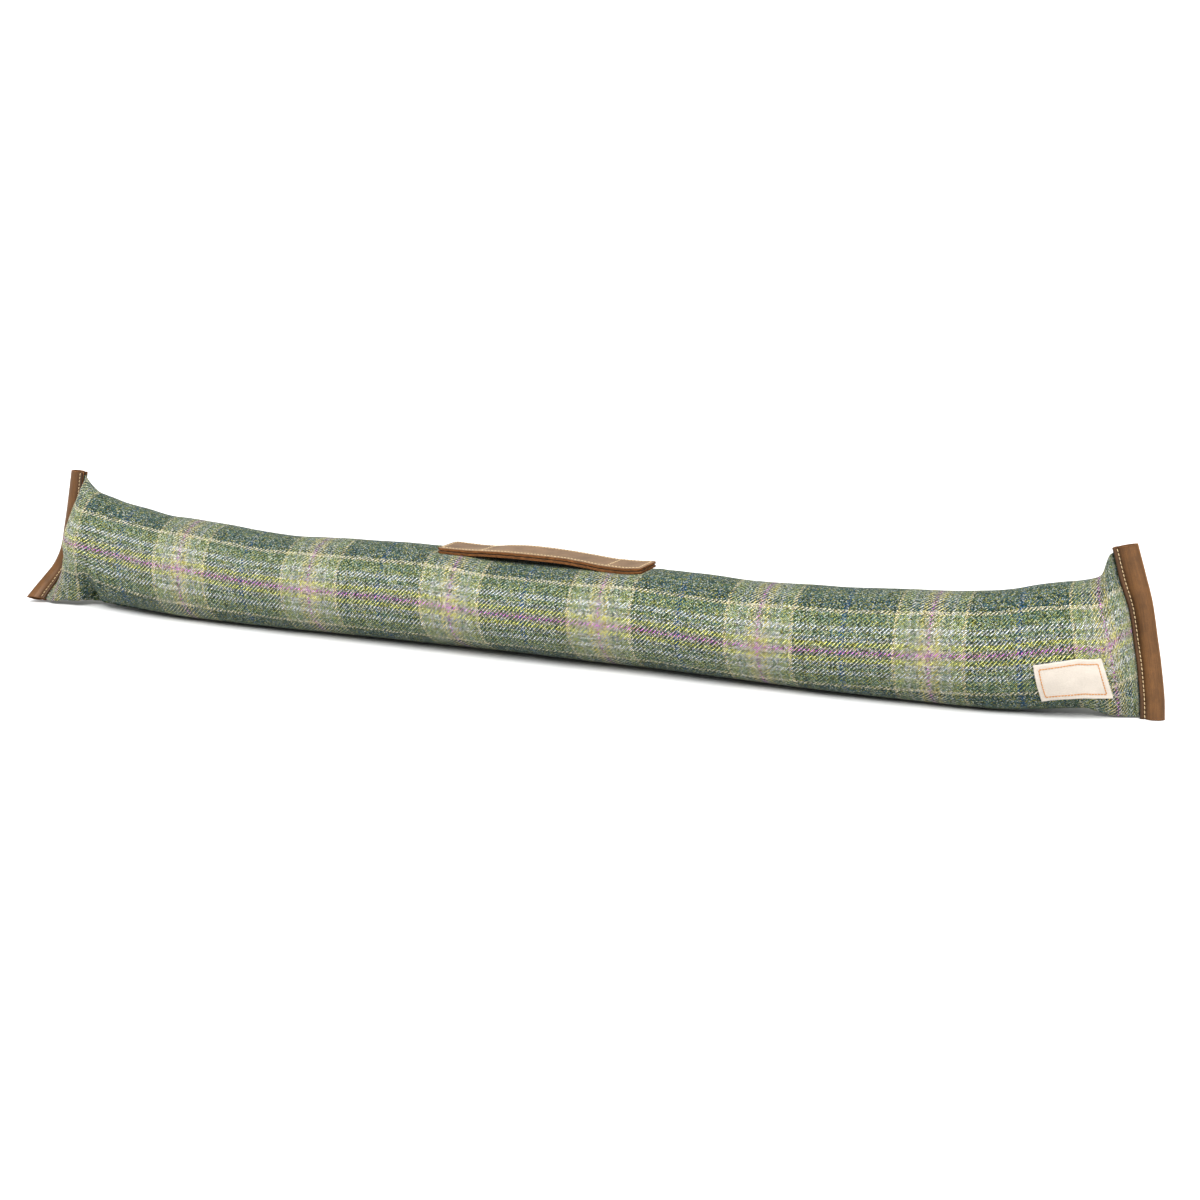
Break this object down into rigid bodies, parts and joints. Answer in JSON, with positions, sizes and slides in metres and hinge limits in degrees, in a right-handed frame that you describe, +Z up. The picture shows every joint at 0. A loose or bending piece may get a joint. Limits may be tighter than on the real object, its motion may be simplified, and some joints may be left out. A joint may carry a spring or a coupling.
{
  "type": "draught excluder",
  "caption": "Filled cloth tube that lies along the foot of a door, its ends sewn flat under folded leather strips, with a leather carrying handle on top.",
  "frame": {"origin": "middle of the flat underside, on the surface the tube lies on", "axes": "+X along the tube to the end with the label, -Y the front that carries the label, +Z up"},
  "size_m": [0.989, 0.0876, 0.1262],
  "materials": {
    "body": "brushed wool twill in a green check",
    "binding_left": "soft brown leather, matt",
    "binding_right": "soft brown leather, matt",
    "handle_lower": "tan-brown leather with raw cut edges",
    "handle_upper": "tan-brown leather with raw cut edges",
    "label": "plain cream cotton"
  },
  "bodies": {
    "root": {"body": "body", "binding_left": "binding_left", "binding_right": "binding_right", "handle_lower": "handle_lower", "handle_upper": "handle_upper", "label": "label"}
  },
  "joints": []
}
